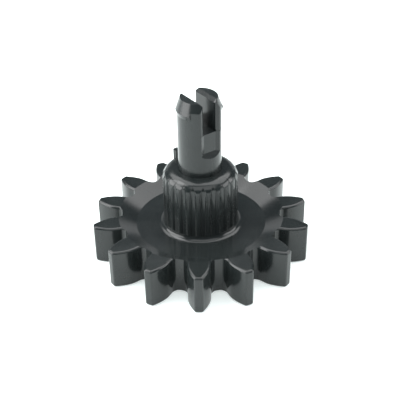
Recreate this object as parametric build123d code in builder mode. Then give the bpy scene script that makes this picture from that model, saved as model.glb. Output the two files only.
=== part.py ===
"""Planet pinion with a ribbed hub, turning on a split snap pin.

Millimetres, +Z up.  The origin is on the pinion's axis, in the plane of its
lower tooth faces, and the free end of the snap pin points to +Z.
"""

from build123d import *
from math import acos, cos, degrees, pi, radians, sin, tan
import os

# --- toothed wheel -----------------------------------------------------------
MODULE = 2.5
TEETH = 14
PRESSURE_ANGLE = radians(20)
FACE_WIDTH = 7.6
ADDENDUM = 2.7
DEDENDUM = 2.8
FIRST_TOOTH_AZIMUTH = -91.7    # degrees from +X, anticlockwise seen from +Z
ROOT_FILLET = 1.15
TIP_ROUND = 0.5
TOOTH_EDGE_ROUND = 0.45

PITCH_RADIUS = MODULE * TEETH / 2
TIP_RADIUS = PITCH_RADIUS + ADDENDUM
ROOT_RADIUS = PITCH_RADIUS - DEDENDUM
BASE_RADIUS = PITCH_RADIUS * cos(PRESSURE_ANGLE)

# --- dished web, the same on both faces --------------------------------------
DISH_DEPTH = 1.8
DISH_RIM_RADIUS = 15.4
DISH_FLOOR_RADIUS = 12.1
BOSS_RADIUS = 7.4              # ring left standing round the bore underneath
WEB_TOP = FACE_WIDTH - DISH_DEPTH

# --- ribbed hub --------------------------------------------------------------
HUB_TOP = FACE_WIDTH + 9.9
RIB_COUNT = 23
RIB_CREST_RADIUS = 6.9
RIB_ROUND = 0.8
HUB_CORE_RADIUS = 6.65
CREST_SHOULDER = 2.0           # larger than the core's, so the ribs fade out at the top
CORE_SHOULDER = 1.7
HUB_BASE_FILLET = 1.0

# --- locating lug on the hub's shoulder --------------------------------------
LUG_AZIMUTH = 135
LUG_RADIUS = 6.0
LUG_LENGTH = 1.2
LUG_WIDTH = 1.1
LUG_TOP = FACE_WIDTH + 11.2
LUG_FOOT = HUB_TOP - 3
LUG_ROUND = 0.3

# --- snap pin ----------------------------------------------------------------
PIN_RADIUS = 3.95
RUNNING_CLEARANCE = 0.05
HEAD_RADIUS = 5.4
HEAD_THICKNESS = 1.5
HEAD_POCKET_GAP = 0.15
HEAD_CHAMFER = 0.3
SLOT_FLOOR = FACE_WIDTH + 18.1
PIN_TOP = FACE_WIDTH + 24.1

# --- the two prongs, one each side of the slot -------------------------------
SLOT_WIDTH = 2.5
SLOT_TOP_CHAMFER = 0.55
SLOT_MOUTH_ROUND = 0.7
FRONT_PRONG_AZIMUTH = -145
BACK_PRONG_AZIMUTH = FRONT_PRONG_AZIMUTH + 180
TOP_LAND_RADIUS = 3.36
BARB_RADIUS = 4.2
BARB_CREST = FACE_WIDTH + 21.9
BARB_FOOT = FACE_WIDTH + 21.1
BARB_SPAN = 64                 # degrees of the rim that each barb takes

# --- channel below the slot's right-hand mouth -------------------------------
CHANNEL_AZIMUTH = FRONT_PRONG_AZIMUTH + 90
CHANNEL_FACE_DISTANCE = 3.1    # flat face, measured from the axis
CHANNEL_FACE_FOOT = FACE_WIDTH + 14.4
CHANNEL_RAMP_FOOT = FACE_WIDTH + 13.5
CHANNEL_FLARE = 2.4            # each side opens this much per mm outwards

INVOLUTE_STEPS = 6
OVERSHOOT = 1                  # how far cuts and joined solids run past a face


def polar(radius, angle):
    """A point in the XY plane; the angle is in radians."""
    return (radius * cos(angle), radius * sin(angle))


def tooth_half_angle(radius):
    """Half the angle that a tooth takes up at this radius, on the involute."""
    roll = acos(min(1.0, BASE_RADIUS / radius))
    involute = tan(roll) - roll
    involute_at_pitch = tan(PRESSURE_ANGLE) - PRESSURE_ANGLE
    return pi / (2 * TEETH) + involute_at_pitch - involute


def flank(side):
    """Points of one flank, base circle to tip; side is +1 or -1."""
    step = (TIP_RADIUS - BASE_RADIUS) / (INVOLUTE_STEPS - 1)
    radii = [BASE_RADIUS + step * index for index in range(INVOLUTE_STEPS)]
    return [polar(radius, side * tooth_half_angle(radius)) for radius in radii]


def at_radius(vertex, radius):
    """True where the vertex is this far from the pinion's axis."""
    return abs((vertex.X ** 2 + vertex.Y ** 2) ** 0.5 - radius) < 1e-3


def tooth_outline():
    """One tooth on the +X axis, its foot sunk below the root circle."""
    left, right = flank(1), flank(-1)
    foot_half_width = left[0][1]
    foot_left = (ROOT_RADIUS - DEDENDUM, foot_half_width)
    foot_right = (ROOT_RADIUS - DEDENDUM, -foot_half_width)
    with BuildSketch() as outline:
        with BuildLine():
            Line(foot_right, right[0])
            Spline(*right)
            ThreePointArc(right[-1], (TIP_RADIUS, 0), left[-1])
            Spline(*reversed(left))
            Line(left[0], foot_left)
            Line(foot_left, foot_right)
        make_face()
    return outline.sketch


def pinion_outline():
    """All the teeth on the root circle, with rounded roots and tips."""
    tooth = tooth_outline()
    with BuildSketch() as outline:
        Circle(ROOT_RADIUS)
        with PolarLocations(0, TEETH, start_angle=FIRST_TOOTH_AZIMUTH):
            add(tooth)
        vertices = outline.vertices()
        fillet([v for v in vertices if at_radius(v, ROOT_RADIUS)], ROOT_FILLET)
        vertices = outline.vertices()
        fillet([v for v in vertices if at_radius(v, TIP_RADIUS)], TIP_ROUND)
    return outline.sketch


def hub_profile(radius, shoulder):
    """Half section of the hub from the axis out, with a rounded shoulder."""
    with BuildSketch(Plane.XZ) as profile:
        with BuildLine():
            Polyline(
                (radius, HUB_TOP - shoulder),
                (radius, WEB_TOP - OVERSHOOT),
                (0, WEB_TOP - OVERSHOOT),
                (0, HUB_TOP),
                (radius - shoulder, HUB_TOP),
            )
            RadiusArc(
                (radius - shoulder, HUB_TOP),
                (radius, HUB_TOP - shoulder),
                shoulder,
            )
        make_face()
    return profile.sketch


def hub_ribs():
    """The ribs alone, trimmed to the rounded outside of the hub."""
    with BuildPart() as ribs:
        with BuildSketch(Plane.XY.offset(WEB_TOP - OVERSHOOT)):
            with PolarLocations(RIB_CREST_RADIUS - RIB_ROUND, RIB_COUNT):
                Circle(RIB_ROUND)
        extrude(amount=HUB_TOP - WEB_TOP + OVERSHOOT)
        with BuildSketch(Plane.XZ):
            add(hub_profile(RIB_CREST_RADIUS, CREST_SHOULDER))
        revolve(axis=Axis.Z, mode=Mode.INTERSECT)
    return ribs.part


def planet_pinion():
    """Teeth, dished web, ribbed hub with its bore, and the lug: one moulding."""
    ribs = hub_ribs()
    with BuildPart() as pinion:
        with BuildSketch():
            add(pinion_outline())
        extrude(amount=FACE_WIDTH)
        rims = pinion.faces().filter_by(Axis.Z).edges()
        fillet(rims, TOOTH_EDGE_ROUND)

        # Dish in the upper face, out to the tooth roots.
        with BuildSketch(Plane.XZ):
            Polygon(
                (0, FACE_WIDTH + OVERSHOOT),
                (0, WEB_TOP),
                (DISH_FLOOR_RADIUS, WEB_TOP),
                (DISH_RIM_RADIUS, FACE_WIDTH),
                (DISH_RIM_RADIUS, FACE_WIDTH + OVERSHOOT),
                align=None,
            )
        revolve(axis=Axis.Z, mode=Mode.SUBTRACT)

        # The same dish underneath, outside the boss.
        with BuildSketch(Plane.XZ):
            Polygon(
                (BOSS_RADIUS, -OVERSHOOT),
                (BOSS_RADIUS, DISH_DEPTH),
                (DISH_FLOOR_RADIUS, DISH_DEPTH),
                (DISH_RIM_RADIUS, 0),
                (DISH_RIM_RADIUS, -OVERSHOOT),
                align=None,
            )
        revolve(axis=Axis.Z, mode=Mode.SUBTRACT)

        # Hub core with its ribs.
        with BuildSketch(Plane.XZ):
            add(hub_profile(HUB_CORE_RADIUS, CORE_SHOULDER))
        revolve(axis=Axis.Z)
        add(ribs)

        # Hollow fillet where the hub stands on the web.
        with BuildSketch(Plane.XZ):
            with BuildLine():
                foot = (RIB_CREST_RADIUS + HUB_BASE_FILLET, WEB_TOP)
                head = (RIB_CREST_RADIUS, WEB_TOP + HUB_BASE_FILLET)
                Polyline(
                    head,
                    (HUB_CORE_RADIUS - OVERSHOOT, WEB_TOP + HUB_BASE_FILLET),
                    (HUB_CORE_RADIUS - OVERSHOOT, WEB_TOP - OVERSHOOT),
                    (RIB_CREST_RADIUS + HUB_BASE_FILLET, WEB_TOP - OVERSHOOT),
                    foot,
                )
                RadiusArc(foot, head, HUB_BASE_FILLET)
            make_face()
        revolve(axis=Axis.Z)

        # Lug standing on the shoulder.
        with BuildSketch(Plane.XY.offset(LUG_TOP)):
            with PolarLocations(LUG_RADIUS, 1, start_angle=LUG_AZIMUTH):
                RectangleRounded(LUG_LENGTH, LUG_WIDTH, LUG_ROUND)
        extrude(amount=LUG_FOOT - LUG_TOP)

        # Bore, and the pocket for the pin's head.
        with BuildSketch(Plane.XY.offset(-OVERSHOOT)):
            Circle(PIN_RADIUS + RUNNING_CLEARANCE)
        extrude(amount=HUB_TOP + 2 * OVERSHOOT, mode=Mode.SUBTRACT)
        with BuildSketch(Plane.XY.offset(-OVERSHOOT)):
            Circle(HEAD_RADIUS + HEAD_POCKET_GAP)
        pocket_depth = HEAD_THICKNESS + HEAD_POCKET_GAP
        extrude(amount=OVERSHOOT + pocket_depth, mode=Mode.SUBTRACT)
    return pinion


def mouth_channel():
    """The space of the channel: flat face, flared sides, foot on a ramp."""
    rim = PIN_RADIUS + OVERSHOOT
    half_width = SLOT_WIDTH / 2
    rim_half_width = half_width + CHANNEL_FLARE * (rim - CHANNEL_FACE_DISTANCE)
    ramp_slope = (CHANNEL_FACE_FOOT - CHANNEL_RAMP_FOOT) / (
        PIN_RADIUS - CHANNEL_FACE_DISTANCE
    )
    ramp_end = CHANNEL_RAMP_FOOT - OVERSHOOT * ramp_slope
    outward = Vector(1, 0, 0).rotate(Axis.Z, CHANNEL_AZIMUTH)
    across = outward.cross(Vector(0, 0, 1))
    plan = Plane(origin=(0, 0, ramp_end), x_dir=outward, z_dir=(0, 0, 1))
    side = Plane(origin=(0, 0, 0), x_dir=outward, z_dir=across)
    with BuildPart() as channel:
        with BuildSketch(plan):
            Polygon(
                (CHANNEL_FACE_DISTANCE, half_width),
                (rim, rim_half_width),
                (rim, -rim_half_width),
                (CHANNEL_FACE_DISTANCE, -half_width),
                align=None,
            )
        extrude(amount=SLOT_FLOOR + OVERSHOOT - ramp_end)
        with BuildSketch(side):
            Polygon(
                (CHANNEL_FACE_DISTANCE, SLOT_FLOOR + OVERSHOOT),
                (CHANNEL_FACE_DISTANCE, CHANNEL_FACE_FOOT),
                (rim, ramp_end),
                (rim, SLOT_FLOOR + OVERSHOOT),
                align=None,
            )
        extrude(amount=rim_half_width, both=True, mode=Mode.INTERSECT)
    return channel.part


def snap_pin():
    """Head and shank up to the floor of the slot, less the channel."""
    channel = mouth_channel()
    with BuildPart() as pin:
        with BuildSketch():
            Circle(HEAD_RADIUS)
        extrude(amount=HEAD_THICKNESS)
        chamfer(pin.edges().group_by(Axis.Z)[0], HEAD_CHAMFER)
        with BuildSketch():
            Circle(PIN_RADIUS)
        extrude(amount=SLOT_FLOOR)
        add(channel, mode=Mode.SUBTRACT)
    return pin


def prong(azimuth):
    """One half of the split end, with its barb pointing to the azimuth."""
    lead_in_slope = (PIN_TOP - BARB_CREST) / (BARB_RADIUS - TOP_LAND_RADIUS)
    cone_foot = PIN_TOP - lead_in_slope * (PIN_RADIUS - TOP_LAND_RADIUS)
    outward = Vector(1, 0, 0).rotate(Axis.Z, azimuth)
    with BuildPart() as part:
        with BuildSketch(Plane.XZ):
            Polygon(
                (0, SLOT_FLOOR),
                (PIN_RADIUS, SLOT_FLOOR),
                (PIN_RADIUS, cone_foot),
                (TOP_LAND_RADIUS, PIN_TOP),
                (0, PIN_TOP),
                align=None,
            )
        revolve(axis=Axis.Z)
        with BuildSketch(Plane.XZ.rotated((0, 0, azimuth - BARB_SPAN / 2))):
            Polygon(
                (TOP_LAND_RADIUS - OVERSHOOT, BARB_FOOT),
                (PIN_RADIUS, BARB_FOOT),
                (BARB_RADIUS, BARB_CREST),
                (TOP_LAND_RADIUS, PIN_TOP),
                (TOP_LAND_RADIUS - OVERSHOOT, PIN_TOP),
                align=None,
            )
        revolve(axis=Axis.Z, revolution_arc=BARB_SPAN)
        slot_wall = Plane(origin=outward * (SLOT_WIDTH / 2), z_dir=outward)
        split(bisect_by=slot_wall, keep=Keep.TOP)
        wall = part.faces().sort_by(Axis(origin=(0, 0, 0), direction=outward))[0]
        fillet(wall.edges().filter_by(Axis.Z), SLOT_MOUTH_ROUND)
        top_land = part.faces().sort_by(Axis.Z)[-1]
        mouth = top_land.edges().filter_by(GeomType.LINE).sort_by(SortBy.LENGTH)
        chamfer(mouth[-1], SLOT_TOP_CHAMFER)
    return part


def write(piece, name):
    """Label a finished piece and write its STEP file."""
    piece.part.label = name
    export_step(piece.part, f"parts/{name}.step")


os.makedirs("parts", exist_ok=True)
write(planet_pinion(), "planet_pinion")
write(snap_pin(), "snap_pin")
write(prong(FRONT_PRONG_AZIMUTH), "front_prong")
write(prong(BACK_PRONG_AZIMUTH), "back_prong")
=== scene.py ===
"""Looks, light and camera for the planet pinion on its split snap pin."""

from math import cos, pi, radians, sin

import bpy
from mathutils import Matrix, Vector


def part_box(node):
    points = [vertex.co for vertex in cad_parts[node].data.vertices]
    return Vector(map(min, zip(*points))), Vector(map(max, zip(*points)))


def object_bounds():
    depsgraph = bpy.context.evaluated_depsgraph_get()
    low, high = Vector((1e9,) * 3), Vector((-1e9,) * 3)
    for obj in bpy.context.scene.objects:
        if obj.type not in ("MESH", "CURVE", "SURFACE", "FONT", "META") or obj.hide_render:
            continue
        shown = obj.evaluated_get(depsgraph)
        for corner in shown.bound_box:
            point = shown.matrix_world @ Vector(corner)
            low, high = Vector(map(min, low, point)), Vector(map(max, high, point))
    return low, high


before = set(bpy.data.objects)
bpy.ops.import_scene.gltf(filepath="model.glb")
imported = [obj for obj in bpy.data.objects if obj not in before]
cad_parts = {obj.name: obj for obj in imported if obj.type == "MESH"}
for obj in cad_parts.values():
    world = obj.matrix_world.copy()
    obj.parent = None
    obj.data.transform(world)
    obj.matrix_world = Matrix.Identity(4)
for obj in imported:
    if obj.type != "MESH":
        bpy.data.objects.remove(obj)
cad_low, cad_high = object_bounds()

# --- sizes taken from the frame, in metres -----------------------------------
pinion_low, pinion_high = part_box("planet_pinion")
TIP_RADIUS = (pinion_high[1] - pinion_low[1]) / 2
FACE_WIDTH = 0.0076
FLOOR_Z = cad_low[2]

# --- camera ------------------------------------------------------------------
CAMERA_ELEVATION = radians(33.91)
CAMERA_DISTANCE = 0.166                   # from the centre of the upper tooth faces
CAMERA_PITCH_UP = radians(0.767)
CAMERA_YAW_LEFT = radians(0.042)
CAMERA_ROLL = radians(-0.967)
LENS = 79.69
SENSOR = 36.0

# --- plastic -----------------------------------------------------------------
DARK_PLASTIC = (0.0125, 0.0155, 0.0155)
PLASTIC_IOR = 1.46
PINION_ROUGHNESS = 0.17
PIN_ROUGHNESS = 0.2
CLOUD_SCALE = 180.0                       # soft patches, a few mm across
CLOUD_DETAIL = 4.0
CLOUD_CONTRAST = 0.1                      # either way, in tone
TONE_ENDS = (0.35, 0.65)                  # noise values of the two end tones
GLOSS_CONTRAST = 0.15                     # either way, in roughness
GLOSS_ENDS = (0.3, 0.7)                   # noise values of the two end roughnesses
SKIN_SCALE = 2500.0                       # moulding texture, under half a mm
SKIN_DETAIL = 3.0
SKIN_STRENGTH = 0.05
SKIN_DEPTH = 0.00005

# --- light -------------------------------------------------------------------
ROOM = 150 * TIP_RADIUS
FLOOR_COLOUR = (0.70, 0.75, 0.74, 1)
FLOOR_ROUGHNESS = 0.9
FLOOR_GLOW_COLOUR = (0.94, 1.0, 0.99, 1)
FLOOR_GLOW = 0.5                          # keeps the floor white round the gear
SURROUNDINGS_COLOUR = (0.7, 0.86, 1.0, 1)
SURROUNDINGS = 0.12
SOFTBOX_HEIGHT = 15 * TIP_RADIUS
SOFTBOX_BACK = 1.09 * SOFTBOX_HEIGHT      # its far edge, behind the gear
SOFTBOX_FRONT = -0.15 * SOFTBOX_HEIGHT    # its near edge, towards the camera
SOFTBOX_WIDTH = 2.1 * SOFTBOX_HEIGHT
SOFTBOX_RADIANCE = 3.3
FILL_DISTANCE = 22 * TIP_RADIUS
FILL_CARDS = (
    # name, azimuth and elevation in degrees, width and height as parts of the
    # distance, radiance
    ("left_fill", 188, 20, 1.1, 0.55, 6.0),
    ("left_high_fill", 180, 50, 0.6, 0.5, 4.5),
    ("right_fill", 0, 20, 0.8, 0.5, 4.0),
    ("front_fill", -80, 52, 1.2, 0.7, 1.8),
    ("back_fill", 90, 14, 1.4, 0.22, 0.8),
)


def new_material(name):
    """A node material with one Principled shader on its output."""
    material = bpy.data.materials.new(name)
    material.use_nodes = True
    tree = material.node_tree
    tree.nodes.clear()
    output = tree.nodes.new("ShaderNodeOutputMaterial")
    shader = tree.nodes.new("ShaderNodeBsdfPrincipled")
    tree.links.new(shader.outputs["BSDF"], output.inputs["Surface"])
    return material, tree, shader


def noise(tree, scale, detail):
    """Noise fixed to the object itself, at this scale."""
    place = tree.nodes.new("ShaderNodeTexCoord")
    texture = tree.nodes.new("ShaderNodeTexNoise")
    texture.inputs["Scale"].default_value = scale
    texture.inputs["Detail"].default_value = detail
    tree.links.new(place.outputs["Object"], texture.inputs["Vector"])
    return texture


def vary_tone(tree, shader, cloud, colour):
    """Base colour that drifts a little lighter and darker with the cloud."""
    tone = tree.nodes.new("ShaderNodeValToRGB")
    dark, light = tone.color_ramp.elements
    dark.position, light.position = TONE_ENDS
    dark.color = (*[c * (1 - CLOUD_CONTRAST) for c in colour], 1)
    light.color = (*[c * (1 + CLOUD_CONTRAST) for c in colour], 1)
    tree.links.new(cloud.outputs["Fac"], tone.inputs["Fac"])
    tree.links.new(tone.outputs["Color"], shader.inputs["Base Color"])


def vary_gloss(tree, shader, cloud, roughness):
    """Roughness that drifts with the same cloud."""
    gloss = tree.nodes.new("ShaderNodeMapRange")
    gloss.inputs["From Min"].default_value = GLOSS_ENDS[0]
    gloss.inputs["From Max"].default_value = GLOSS_ENDS[1]
    gloss.inputs["To Min"].default_value = roughness * (1 - GLOSS_CONTRAST)
    gloss.inputs["To Max"].default_value = roughness * (1 + GLOSS_CONTRAST)
    tree.links.new(cloud.outputs["Fac"], gloss.inputs["Value"])
    tree.links.new(gloss.outputs["Result"], shader.inputs["Roughness"])


def add_skin(tree, shader):
    """The fine texture that a mould leaves."""
    skin = noise(tree, SKIN_SCALE, SKIN_DETAIL)
    bump = tree.nodes.new("ShaderNodeBump")
    bump.inputs["Strength"].default_value = SKIN_STRENGTH
    bump.inputs["Distance"].default_value = SKIN_DEPTH
    tree.links.new(skin.outputs["Fac"], bump.inputs["Height"])
    tree.links.new(bump.outputs["Normal"], shader.inputs["Normal"])


def plastic(name, colour, roughness):
    """Moulded dark plastic."""
    material, tree, shader = new_material(name)
    shader.inputs["IOR"].default_value = PLASTIC_IOR
    cloud = noise(tree, CLOUD_SCALE, CLOUD_DETAIL)
    vary_tone(tree, shader, cloud, colour)
    vary_gloss(tree, shader, cloud, roughness)
    add_skin(tree, shader)
    return material


def dress(node, material):
    """Give a CAD node this material in place of its plain one."""
    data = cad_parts[node].data
    data.materials.clear()
    data.materials.append(material)


def floor():
    """A plain white floor under the gear."""
    material, _, shader = new_material("floor_white")
    shader.inputs["Base Color"].default_value = FLOOR_COLOUR
    shader.inputs["Roughness"].default_value = FLOOR_ROUGHNESS
    shader.inputs["Emission Color"].default_value = FLOOR_GLOW_COLOUR
    shader.inputs["Emission Strength"].default_value = FLOOR_GLOW
    bpy.ops.mesh.primitive_plane_add(size=ROOM, location=(0, 0, FLOOR_Z))
    piece = bpy.context.object
    piece.name = "floor"
    piece.data.materials.append(material)


def area_light(name, centre, width, depth, radiance):
    """A rectangular light of even radiance, shining straight down."""
    data = bpy.data.lights.new(name, "AREA")
    data.shape = "RECTANGLE"
    data.size = width
    data.size_y = depth
    data.energy = radiance * pi * width * depth
    piece = bpy.data.objects.new(name, data)
    piece.location = centre
    bpy.context.collection.objects.link(piece)
    return piece


def softbox():
    """The large light overhead, shining straight down."""
    middle = (SOFTBOX_BACK + SOFTBOX_FRONT) / 2
    depth = SOFTBOX_BACK - SOFTBOX_FRONT
    centre = (0, middle, SOFTBOX_HEIGHT)
    area_light("softbox", centre, SOFTBOX_WIDTH, depth, SOFTBOX_RADIANCE)


def fill(name, azimuth, elevation, width, height, radiance):
    """A card out at the fill distance, facing the gear."""
    flat = FILL_DISTANCE * cos(radians(elevation))
    centre = Vector((
        flat * cos(radians(azimuth)),
        flat * sin(radians(azimuth)),
        FILL_DISTANCE * sin(radians(elevation)),
    ))
    card = area_light(
        name, centre, width * FILL_DISTANCE, height * FILL_DISTANCE, radiance
    )
    card.rotation_euler = (-centre).to_track_quat("-Z", "Y").to_euler()


def camera():
    """The camera, at the photograph's angle and with its long lens."""
    data = bpy.data.cameras.new("camera")
    data.lens = LENS
    data.sensor_width = SENSOR
    piece = bpy.data.objects.new("camera", data)
    bpy.context.collection.objects.link(piece)
    target = Vector((0, 0, FACE_WIDTH))
    back = Vector((0, -cos(CAMERA_ELEVATION), sin(CAMERA_ELEVATION)))
    turn = (
        Matrix.Rotation(pi / 2 - CAMERA_ELEVATION + CAMERA_PITCH_UP, 4, "X")
        @ Matrix.Rotation(CAMERA_YAW_LEFT, 4, "Y")
        @ Matrix.Rotation(CAMERA_ROLL, 4, "Z")
    )
    piece.matrix_world = Matrix.Translation(target + back * CAMERA_DISTANCE) @ turn
    bpy.context.scene.camera = piece


def surroundings():
    """Dim, slightly blue surroundings."""
    world = bpy.data.worlds.new("world")
    world.use_nodes = True
    background = world.node_tree.nodes["Background"]
    background.inputs["Color"].default_value = SURROUNDINGS_COLOUR
    background.inputs["Strength"].default_value = SURROUNDINGS
    bpy.context.scene.world = world


dress("planet_pinion", plastic("pinion_plastic", DARK_PLASTIC, PINION_ROUGHNESS))
pin_plastic = plastic("pin_plastic", DARK_PLASTIC, PIN_ROUGHNESS)
for pin_node in ("snap_pin", "front_prong", "back_prong"):
    dress(pin_node, pin_plastic)

floor()
camera()
surroundings()
softbox()
for card in FILL_CARDS:
    fill(*card)
bpy.context.scene.view_settings.view_transform = "Standard"
